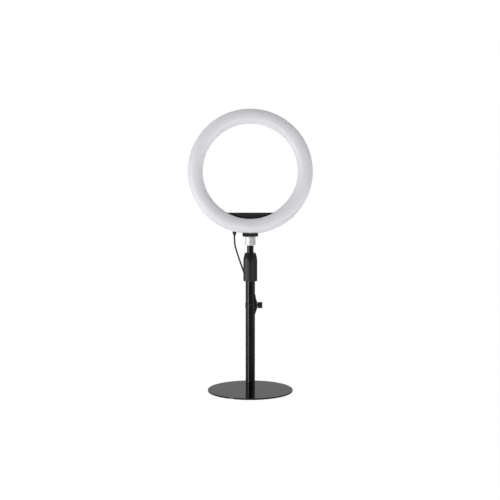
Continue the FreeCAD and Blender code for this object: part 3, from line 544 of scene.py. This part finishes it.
def opal():
    """Opal acrylic: milky, softly glossy, with faint moulding waves."""
    finish = Finish("opal_acrylic", (0.925, 0.92, 0.95), 0.33)
    finish.vary_roughness(finish.noise(18, 3), 0.04)
    finish.vary_colour(finish.noise(9, 2), 0.012)
    finish.bump(finish.noise(14, 2), 0.0002, 0.15)
    finish.bump(finish.noise(2500, 2), 0.00001, 0.3)
    finish.shader.inputs["Subsurface Radius"].default_value = (1, 1, 1)
    return finish.set(Subsurface_Weight=0.1, Subsurface_Scale=0.004).material


def solder_mask(name, colour):
    """The lacquer of a circuit board, or a plain moulded insulator."""
    finish = Finish(name, colour, 0.3)
    finish.vary_colour(finish.noise(250, 4), 0.06)
    return finish.bump(finish.noise(800, 3), 0.00002, 0.3).material


def phosphor(name, colour):
    """The coloured face of an unlit diode under its clear dome."""
    finish = Finish(name, colour, 0.25)
    finish.vary_colour(finish.noise(900, 3), 0.1)
    return finish.set(Coat_Weight=0.6, Coat_Roughness=0.1).material


def wire_insulation():
    """Red, black and white wires side by side, told apart by where they lie across."""
    finish = Finish("wire_insulation", (0.5, 0.03, 0.02), 0.4)
    place = finish.tree.nodes.new("ShaderNodeTexCoord")
    parts = finish.tree.nodes.new("ShaderNodeSeparateXYZ")
    band = finish.tree.nodes.new("ShaderNodeMapRange")
    ramp = finish.tree.nodes.new("ShaderNodeValToRGB")
    band.inputs["From Min"].default_value = (WIRES_MIDDLE - 1.5 * WIRE_PITCH) * MM
    band.inputs["From Max"].default_value = (WIRES_MIDDLE + 1.5 * WIRE_PITCH) * MM
    ramp.color_ramp.interpolation = "CONSTANT"
    ramp.color_ramp.elements[0].color = (0.5, 0.02, 0.015, 1)
    ramp.color_ramp.elements[1].position = 0.66
    ramp.color_ramp.elements[1].color = (0.75, 0.75, 0.73, 1)
    middle = ramp.color_ramp.elements.new(0.33)
    middle.color = (0.01, 0.01, 0.01, 1)
    finish.tree.links.new(place.outputs["Object"], parts.inputs["Vector"])
    finish.tree.links.new(parts.outputs["X"], band.inputs["Value"])
    finish.tree.links.new(band.outputs["Result"], ramp.inputs["Fac"])
    finish.tree.links.new(ramp.outputs["Color"], finish.shader.inputs["Base Color"])
    return finish.bump(finish.noise(1500, 2), 0.00002, 0.3).material


def silicone():
    """The remote's keys."""
    finish = Finish("grey_silicone", (0.30, 0.30, 0.32), 0.55)
    finish.vary_colour(finish.noise(200, 3), 0.08)
    return finish.bump(finish.noise(1800, 3), 0.00002, 0.4).material


def nickel():
    """The plug's pressed metal shell, brushed across."""
    finish = Finish("nickel_plate", (0.62, 0.62, 0.63), 0.22, 1)
    finish.vary_roughness(finish.noise(150, 4), 0.07)
    finish.vary_colour(finish.noise(150, 3), 0.06)
    return finish.bump(finish.noise(60, 3, (40, 1, 1)), 0.00001, 0.3).material


def make_materials():
    """One finish for each material slot of the record, and one for the clamp."""
    return {
        "black_enamel": black_enamel(),
        "black_gloss_tube": gloss_enamel(),
        "satin_chrome": satin_chrome(),
        "zinc_steel": zinc_steel(),
        "brass": brass(),
        "black_abs": black_abs(),
        "grip_rubberised": soft_touch(),
        "acetal": acetal(),
        "opal": opal(),
        "board_white": solder_mask("white_mask", (0.80, 0.81, 0.79)),
        "board_green": solder_mask("green_mask", (0.015, 0.12, 0.04)),
        "lamp_warm": phosphor("warm_phosphor", (0.85, 0.55, 0.10)),
        "lamp_cool": phosphor("cool_phosphor", (0.85, 0.80, 0.30)),
        "foam": foam(),
        "cord_jacket": cord_jacket(),
        "soft_pvc": soft_pvc(),
        "wire_colours": wire_insulation(),
        "button_rubber": silicone(),
        "plug_metal": nickel(),
        "plug_insulator": solder_mask("white_insulator", (0.80, 0.81, 0.84)),
        "clamp": clamp_plastic(),
    }


def slot_of(node):
    """The material slot that the record gives a CAD node."""
    return [part["material_slot"] for part in frame["record"]["subparts"] if part["node"] == node][0]


def dress_cad_nodes(finishes):
    """Give every CAD node the finish of its slot, but the clamp's body its own smoother one."""
    for name, node in NODES.items():
        finish = finishes["clamp" if name == "pole_clamp" else slot_of(name)]
        for place in node.material_slots:
            place.material = finish


# ---- meshes ------------------------------------------------------------------------------

def link_mesh(name, vertices, faces, finish, crease=35):
    """A new piece from its corners and faces, smooth except across edges sharper than the crease."""
    mesh = bpy.data.meshes.new(name)
    mesh.from_pydata([tuple(vertex) for vertex in vertices], [], faces)
    mesh.validate()
    outward = bmesh.new()
    outward.from_mesh(mesh)
    bmesh.ops.recalc_face_normals(outward, faces=outward.faces)
    outward.to_mesh(mesh)
    outward.free()
    for face in mesh.polygons:
        face.use_smooth = True
    mesh.set_sharp_from_angle(angle=math.radians(crease))
    mesh.materials.append(finish)
    piece = bpy.data.objects.new(name, mesh)
    bpy.context.scene.collection.objects.link(piece)
    return piece


def stand_for(piece, node):
    """Let a piece take a CAD node's place, with its body."""
    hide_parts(node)
    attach(piece, body_of(NODES[node])[0])
    return piece


def loop_faces(rings, count):
    """Faces between closed rings of corners, the last ring joined to the first."""
    faces = []
    for ring in range(rings):
        beside = (ring + 1) % rings
        for place in range(count):
            following = (place + 1) % count
            faces.append((ring * count + place, ring * count + following,
                          beside * count + following, beside * count + place))
    return faces


def loft(name, rings, finish, crease=35):
    """A closed skin over a row of rings of points in metres, capped at both ends."""
    count = len(rings[0])
    vertices = [point for ring in rings for point in ring]
    faces = loop_faces(len(rings), count)[:(len(rings) - 1) * count]
    faces.append(tuple(range(count)))
    faces.append(tuple(len(vertices) - count + place for place in range(count)))
    return link_mesh(name, vertices, faces, finish, crease)


def lathe(name, section, finish, origin, axis, steps):
    """Turn a closed section of (radius, distance along the axis), in millimetres, about an axis."""
    along = Vector(axis)
    side = along.orthogonal().normalized()
    other = along.cross(side)
    vertices = []
    for step in range(steps):
        turn = 2 * math.pi * step / steps
        outward = side * math.cos(turn) + other * math.sin(turn)
        vertices += metres(Vector(origin) + along * distance + outward * radius
                           for radius, distance in section)
    return link_mesh(name, vertices, loop_faces(steps, len(section)), finish)


def ring_of_points(centre, across, upward, half_across, half_upward, squareness=2, count=64):
    """A ring across two directions: an ellipse at a squareness of 2, nearly a rectangle at 8."""
    points = []
    for step in range(count):
        cosine = math.cos(2 * math.pi * step / count)
        sine = math.sin(2 * math.pi * step / count)
        share = (abs(cosine) / half_across) ** squareness + (abs(sine) / half_upward) ** squareness
        reach = share ** (-1 / squareness)
        points.append(Vector(centre) + (Vector(across) * cosine + Vector(upward) * sine) * reach)
    return metres(points)


def relief_profile(length, tip, wide, ribs):
    """A ribbed strain relief from its tip: distances along it and radii."""
    profile = [(0, tip * RELIEF_LIP_SHARE)]
    steps = ribs * RIB_STEPS
    for step in range(steps + 1):
        share = step / steps
        hollow = 0.5 - 0.5 * math.cos(2 * math.pi * ribs * share)
        distance = RELIEF_ROUNDING + (length - RELIEF_ROUNDING) * share
        profile.append((distance, tip + (wide - tip) * share - RIB_DEPTH * hollow ** 2))
    return profile


def tube_along(name, points, radius, finish):
    """A closed round tube along a line of points, with no twist."""
    side = (points[1] - points[0]).orthogonal().normalized()
    rings = []
    for place, point in enumerate(points):
        before = points[max(place - 1, 0)]
        after = points[min(place + 1, len(points) - 1)]
        tangent = (after - before).normalized()
        side = (side - tangent * side.dot(tangent)).normalized()
        other = tangent.cross(side)
        ring = []
        for turn in range(TUBE_SIDES):
            angle = 2 * math.pi * turn / TUBE_SIDES
            ring.append(point + (side * math.cos(angle) + other * math.sin(angle)) * radius)
        rings.append(ring)
    return loft(name, rings, finish)


def route_line(name, points):
    """The smooth line of a cord: a NURBS curve with the route's points as its control points."""
    curve = bpy.data.curves.new(name, "CURVE")
    curve.dimensions = "3D"
    spline = curve.splines.new("NURBS")
    spline.points.add(len(points) - 1)
    for place, point in zip(spline.points, points):
        place.co = (*point, 1)
    spline.order_u = 3
    spline.use_endpoint_u = True
    spline.resolution_u = 8
    return curve


def line_points(curve):
    """Points along the curve, read from its own line."""
    holder = bpy.data.objects.new("line_reader", curve)
    bpy.context.scene.collection.objects.link(holder)
    bpy.context.view_layer.update()
    settled = holder.evaluated_get(bpy.context.evaluated_depsgraph_get())
    mesh = bpy.data.meshes.new_from_object(settled)
    points = [vertex.co.copy() for vertex in mesh.vertices]
    bpy.data.objects.remove(holder)
    bpy.data.meshes.remove(mesh)
    return points


# ---- fittings on the cord ----------------------------------------------------------------

def make_gland(finishes):
    """The strain relief under the ring: a ribbed cone, a neck and a flange inside the shell."""
    low, high = [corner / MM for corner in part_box("cord_gland")]
    centre = (low + high) / 2
    rings = []
    for distance, radius in relief_profile(GLAND_TAPER, GLAND_TIP, GLAND_FLARE, GLAND_RIBS):
        rings.append(ring_of_points((centre.x, centre.y, low.z + distance), X, Y, radius, radius))
    for height in (low.z + GLAND_TAPER + GLAND_STEP, high.z - FLANGE_HEIGHT):
        rings.append(ring_of_points((centre.x, centre.y, height), X, Y, GLAND_NECK, GLAND_NECK))
    for height in (high.z - FLANGE_HEIGHT, high.z):
        rings.append(ring_of_points((centre.x, centre.y, height), X, Y, (high.x - low.x) / 2,
                                    (high.y - low.y) / 2, FLANGE_SQUARENESS))
    return stand_for(loft("ribbed_gland", rings, finishes["soft_pvc"]), "cord_gland")


def make_remote_relief(finishes, node, upward):
    """One of the remote's two strain reliefs, from the cord towards the case."""
    low, high = [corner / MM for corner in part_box(node)]
    centre = (low + high) / 2
    rings = []
    wide = (high.x - low.x) / 2
    for distance, radius in relief_profile(high.z - low.z, RELIEF_TIP, wide, REMOTE_RIBS):
        height = low.z + distance if upward else high.z - distance
        rings.append(ring_of_points((centre.x, centre.y, height), X, Y, radius, radius))
    return stand_for(loft("ribbed_" + node, rings, finishes["soft_pvc"]), node)


def make_button(finishes, node):
    """A silicone key: a rounded rim round a shallow dish for the fingertip."""
    low, high = [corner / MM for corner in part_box(node)]
    centre = (low + high) / 2
    radius = (high.x - low.x) / 2
    profile = [(low.y, radius)]
    profile += [(high.y - below, radius - inward) for below, inward in KEY_OUTLINE]
    profile.append((high.y - KEY_DISH, KEY_CENTRE))
    rings = []
    for depth, reach in profile:
        rings.append(ring_of_points((centre.x, depth, centre.z), X, Z, reach, reach))
    return stand_for(loft("key_" + node, rings, finishes["button_rubber"], crease=60), node)


def make_plug_boot(finishes):
    """The moulded plug: a ribbed relief that steps up to a flat grip with three finger grooves."""
    low, high = [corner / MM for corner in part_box("usb_boot")]
    centre = (low + high) / 2
    half_across = (high.x - low.x) / 2
    half_upward = (high.z - low.z) / 2
    rings = []
    for distance, radius in relief_profile(PLUG_RELIEF, RELIEF_TIP, PLUG_RELIEF_WIDE, PLUG_RIBS):
        rings.append(ring_of_points((centre.x, low.y + distance, centre.z), X, Z, radius, radius))
    grip_start = low.y + PLUG_RELIEF
    length = high.y - grip_start
    for step in range(PLUG_STEPS + 1):
        along = length * step / PLUG_STEPS
        shrink = max(0, 1 - along, along - length + 1) ** 2 * PLUG_ROUNDING
        wave = 0.5 - 0.5 * math.cos(2 * math.pi * (along - GROOVES_START) / GROOVE_PITCH)
        groove = PLUG_GROOVE * wave ** 2 if GROOVES_START <= along <= GROOVES_END else 0
        rings.append(ring_of_points((centre.x, grip_start + along, centre.z), X, Z,
                                    half_across - shrink - groove, half_upward - shrink,
                                    PLUG_SQUARENESS))
    return stand_for(loft("moulded_plug", rings, finishes["soft_pvc"]), "usb_boot")


def make_tie(finishes):
    """A thin strap round the hank, with its free end lapped over itself."""
    low, high = [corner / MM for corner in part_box("hank_tie")]
    centre = (low + high) / 2
    half_across = (high.x - low.x) / 2
    half_upward = (high.z - low.z) / 2

    def strap_rings(inner, outer):
        """Sections of the strap in order round the hank, between two lifts from its outside."""
        loops = []
        for depth, lift in ((low.y, inner), (low.y, outer), (high.y, outer), (high.y, inner)):
            loops.append(ring_of_points((centre.x, depth, centre.z), X, Z, half_across + lift,
                                        half_upward + lift, STRAP_SQUARENESS, STRAP_STEPS))
        return [list(section) for section in zip(*loops)]

    band = strap_rings(-STRAP_THICKNESS, 0)
    vertices = [point for section in band for point in section]
    strap = link_mesh("hank_strap", vertices, loop_faces(len(band), 4), finishes[slot_of("hank_tie")])
    stand_for(strap, "hank_tie")
    lap = strap_rings(STRAP_GAP, STRAP_LAP)
    lap = lap[int(STRAP_STEPS * LAP_START):int(STRAP_STEPS * LAP_END)]
    end = loft("hank_strap_end", lap, finishes[slot_of("hank_tie")])
    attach(end, body_of(NODES["hank_tie"])[0])
    return [strap, end]


# ---- cord --------------------------------------------------------------------------------

def fold(middle, outward, level, radii, columns, upward):
    """Control points of one half turn of the hank; radius and column change evenly along it."""
    half_step = math.radians(90 / FOLD_POINTS)
    points = []
    for step in range(FOLD_POINTS):
        share = (step + 0.5) / FOLD_POINTS
        angle = math.pi * (share - 0.5) * (1 if upward else -1)
        radius = (radii[0] + (radii[1] - radii[0]) * share) / math.cos(half_step)
        across = columns[0] + (columns[1] - columns[0]) * share
        points.append((across, middle + outward * radius * math.cos(angle),
                       level + radius * math.sin(angle)))
    return points


def hank_route():
    """The hank from its first loop to where it leaves for the plug, in millimetres."""
    loops = []
    for layer, radius in enumerate(LAYER_RADII):
        columns = COLUMNS if layer % 2 == 0 else tuple(reversed(COLUMNS))
        loops += [(radius, column) for column in columns]
    points = [LOOP_START]
    for place, (radius, column) in enumerate(loops[:-1]):
        next_radius, next_column = loops[place + 1]
        points += fold(HANK_REAR, 1, HANK_LEVEL, (radius, radius), (column, column), False)
        points += fold(HANK_FRONT, -1, HANK_LEVEL, (radius, next_radius), (column, next_column), True)
    inner, column = loops[-1]
    points += fold(HANK_REAR, 1, HANK_LEVEL, (inner, inner), (column, EXIT_COLUMN), False)
    outer = LAYER_RADII[0]
    exit_level = HANK_LEVEL - inner + outer
    rise = fold(HANK_FRONT, -1, exit_level, (outer, outer), (EXIT_COLUMN, EXIT_COLUMN), True)
    return points + rise[:RISE_POINTS]


def make_upper_cord(finishes):
    """From the ring's strain relief down behind the pole to the remote; it stretches with the lift."""
    path = line_points(route_line("upper_line", metres(UPPER_ROUTE)))
    piece = tube_along("cord_to_remote", path, LEAD_DIAMETER * MM / 2, finishes["cord_jacket"])
    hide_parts("cord_upper")
    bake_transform(piece, "swivel", "head", start=(0, 0, STRETCH_START), end=(0, 0, STRETCH_END))
    on_it = [NODES[name] for name in ("remote_base", "remote_cover", "remote_board")]
    on_it.append(make_gland(finishes))
    on_it.append(make_remote_relief(finishes, "remote_relief_upper", False))
    for word in ("power", "colour", "brighter", "dimmer"):
        on_it.append(make_button(finishes, "button_" + word))


def make_lower_cord(finishes):
    """From the remote down to the tied hank on the base, and on to the plug."""
    route = metres(LOWER_ROUTE + hank_route() + TAIL_ROUTE)
    path = line_points(route_line("lower_line", route))
    piece = tube_along("cord_to_plug", path, CORD_DIAMETER * MM / 2, finishes["cord_jacket"])
    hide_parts("cord_lower", "cord_hank", "cord_tail")
    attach(piece, "swivel")
    on_it = [NODES["usb_shell"], NODES["usb_tongue"], make_plug_boot(finishes)] + make_tie(finishes)
    on_it.append(make_remote_relief(finishes, "remote_relief_lower", True))


# ---- light -------------------------------------------------------------------------------

def arc_points(radius_middle, depth_middle, radius, start, end, count):
    """Points on an arc of the ring's section; degrees from outward towards the back."""
    points = []
    for step in range(count + 1):
        angle = math.radians(start + (end - start) * step / count)
        points.append((radius_middle + radius * math.cos(angle),
                       depth_middle + radius * math.sin(angle)))
    return points


def make_diffuser(finishes):
    """The opal ring: a shallow arch between two straight skirts whose lips are rounded."""
    outer = (RING_HIGH.x - RING_LOW.x) / 2 / MM
    front = RING_LOW.y / MM
    seam = RING_HIGH.y / MM
    inner = outer - DIFFUSER_WIDTH
    middle = (outer + inner) / 2
    half = DIFFUSER_WIDTH / 2
    shoulder = seam - DIFFUSER_SKIRT
    rise = shoulder - front
    bow = (half * half + rise * rise) / (2 * rise)
    reach = math.degrees(math.asin(half / bow))
    lip = DIFFUSER_WALL / 2
    inner_bow = bow - DIFFUSER_WALL
    bow_depth = front + bow
    inside_half = half - DIFFUSER_WALL
    inner_reach = math.degrees(math.asin(inside_half / inner_bow))
    section = arc_points(outer - lip, seam - lip, lip, 180, 0, LIP_STEPS)
    section += arc_points(middle, bow_depth, bow, -90 + reach, -90 - reach, BOW_STEPS)
    section += arc_points(inner + lip, seam - lip, lip, 180, 0, LIP_STEPS)
    section += arc_points(middle, bow_depth, inner_bow, -90 - inner_reach, -90 + inner_reach,
                          INNER_BOW_STEPS)
    centre = (0, 0, RING_CENTRE / MM)
    piece = lathe("opal_diffuser", section, finishes["opal"], centre, Y, DIFFUSER_TURNS)
    stand_for(piece, "diffuser")


# ---- twist lock --------------------------------------------------------------------------

def smooth_least(first, second, blend):
    """The lesser of two lengths, rounded where they cross."""
    share = max(0.0, blend - abs(first - second)) / blend
    return min(first, second) - share * share * blend / 4


def grip_radius(profile_radius, degrees):
    """The sleeve's radius: its turned profile, less the straight hollow of the nearest flute."""
    spacing = 360 / FLUTE_COUNT
    off = (degrees - GRIP_TURN + spacing / 2) % spacing - spacing / 2
    middle = GRIP_RADIUS + FLUTE_RADIUS - FLUTE_DEPTH
    angle = math.radians(off)
    inside = FLUTE_RADIUS ** 2 - (middle * math.sin(angle)) ** 2
    if inside <= 0:
        return profile_radius
    hollow = middle * math.cos(angle) - math.sqrt(inside)
    return smooth_least(profile_radius, hollow, GRIP_ROUNDING)


def make_grip(finishes):
    """The fluted sleeve: flutes run straight up and die out in the taper."""
    low, high = [corner.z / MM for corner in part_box("grip_sleeve")]
    foot = GRIP_FOOT_ROUND
    top = high - GRIP_TOP_ROUND
    outside = [(GRIP_RADIUS - foot + sine, low + foot - cosine) for sine, cosine in rounding(foot, 0)]
    for step in range(1, GRIP_STEPS - 1):
        outside.append((GRIP_RADIUS, low + (GRIP_SHOULDER - low) * step / GRIP_STEPS))
    for step in range(2, GRIP_STEPS + 1):
        share = step / GRIP_STEPS
        outside.append((GRIP_RADIUS - (GRIP_RADIUS - GRIP_NECK) * share,
                        GRIP_SHOULDER + (top - GRIP_SHOULDER) * share))
    for sine, cosine in rounding(GRIP_TOP_ROUND, ROUND_STEP):
        outside.append((GRIP_NECK - GRIP_TOP_ROUND + cosine, top + sine))
    inside = [(GRIP_MOUTH + GRIP_MOUTH_BEVEL, high), (GRIP_MOUTH, high - GRIP_MOUTH_BEVEL),
              (GRIP_MOUTH, high - GRIP_MOUTH_LENGTH), (GRIP_BORE, high - GRIP_BORE_TOP),
              (GRIP_BORE, low + GRIP_BORE_BEVEL), (GRIP_BORE + GRIP_BORE_FLARE, low)]
    steps = 360
    vertices = []
    for degrees in range(steps):
        turn = math.radians(degrees)
        ring = [(grip_radius(radius, degrees), level) for radius, level in outside] + inside
        vertices += metres((-math.sin(turn) * radius, math.cos(turn) * radius, level)
                           for radius, level in ring)
    faces = loop_faces(steps, len(outside) + len(inside))
    stand_for(link_mesh("fluted_grip", vertices, faces, finishes["grip_rubberised"]), "grip_sleeve")


# ---- spigot and thumb screw --------------------------------------------------------------

def make_spigot(finishes):
    """The turned spigot: rounded rims, and a fine groove near each end."""
    low, high = [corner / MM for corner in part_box("spigot")]
    radius = (high.x - low.x) / 2
    rim = radius - SPIGOT_RIM
    floor = radius - SPIGOT_GROOVE_DEPTH
    profile = [(SPIGOT_BORE, low.z), (rim, low.z)]
    for sine, cosine in rounding(SPIGOT_RIM, ROUND_STEP):
        profile.append((rim + sine, low.z + SPIGOT_RIM - cosine))
    for level in (low.z + SPIGOT_GROOVE_PLACE, high.z - SPIGOT_GROOVE_PLACE):
        profile += [(radius, level - SPIGOT_GROOVE_TOP), (floor, level - SPIGOT_GROOVE_FLOOR),
                    (floor, level + SPIGOT_GROOVE_FLOOR), (radius, level + SPIGOT_GROOVE_TOP)]
    for sine, cosine in rounding(SPIGOT_RIM, 0):
        profile.append((rim + cosine, high.z - SPIGOT_RIM + sine))
    profile.append((SPIGOT_BORE, high.z))
    piece = lathe("turned_spigot", profile, finishes["satin_chrome"], (0, 0, 0), Z, SPIGOT_TURNS)
    stand_for(piece, "spigot")


def make_knob(finishes):
    """The thumb screw's knob: ribs with round hollows between them, and a dished end."""
    low, high = [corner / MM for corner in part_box("clamp_knob")]
    centre = (low + high) / 2
    radius = (high.z - low.z) / 2
    count = KNOB_RIBS * KNOB_RIB_STEPS
    stations = [(low.x + KNOB_SOCKET, KNOB_CENTRE, 0), (low.x + KNOB_SOCKET, KNOB_SOCKET_RADIUS, 0),
                (low.x, KNOB_SOCKET_RADIUS, 0)]
    stations += [(low.x + along, radius - inward, hollow) for along, inward, hollow in KNOB_POLE_END]
    stations += [(high.x - along, radius - inward, hollow) for along, inward, hollow in KNOB_FREE_END]
    stations.append((high.x - KNOB_DISH, KNOB_CENTRE, 0))
    rings = []
    for across, reach, hollow in stations:
        ring = []
        for step in range(count):
            turn = 2 * math.pi * step / count
            dip = hollow * (0.5 + 0.5 * math.cos(KNOB_RIBS * turn)) ** 2
            outward = Y * math.cos(turn) + Z * math.sin(turn)
            ring.append((Vector((across, centre.y, centre.z)) + outward * (reach - dip)) * MM)
        rings.append(ring)
    piece = loft("ribbed_knob", rings, finishes[slot_of("clamp_knob")], crease=50)
    stand_for(piece, "clamp_knob")


# ---- the whole scene ---------------------------------------------------------------------

def build():
    """Camera, room and lamps, then the cords, then the finer pieces on the stand and the ring."""
    make_camera()
    make_world()
    make_floor()
    make_softbox("key", azimuth=-51, elevation=-3, distance=2.4, width=0.5, height=0.9, power=9.5)
    make_softbox("low_key", azimuth=-51, elevation=-20, distance=2.4, width=0.5, height=0.5, power=3.4)
    make_softbox("left_side", azimuth=-86, elevation=0, distance=2.4, width=0.8, height=1.3, power=4)
    make_softbox("right_side", azimuth=72, elevation=0, distance=2.4, width=1.2, height=1.2, power=3)
    finishes = make_materials()
    dress_cad_nodes(finishes)
    make_upper_cord(finishes)
    make_lower_cord(finishes)
    make_diffuser(finishes)
    make_grip(finishes)
    make_spigot(finishes)
    make_knob(finishes)


build()
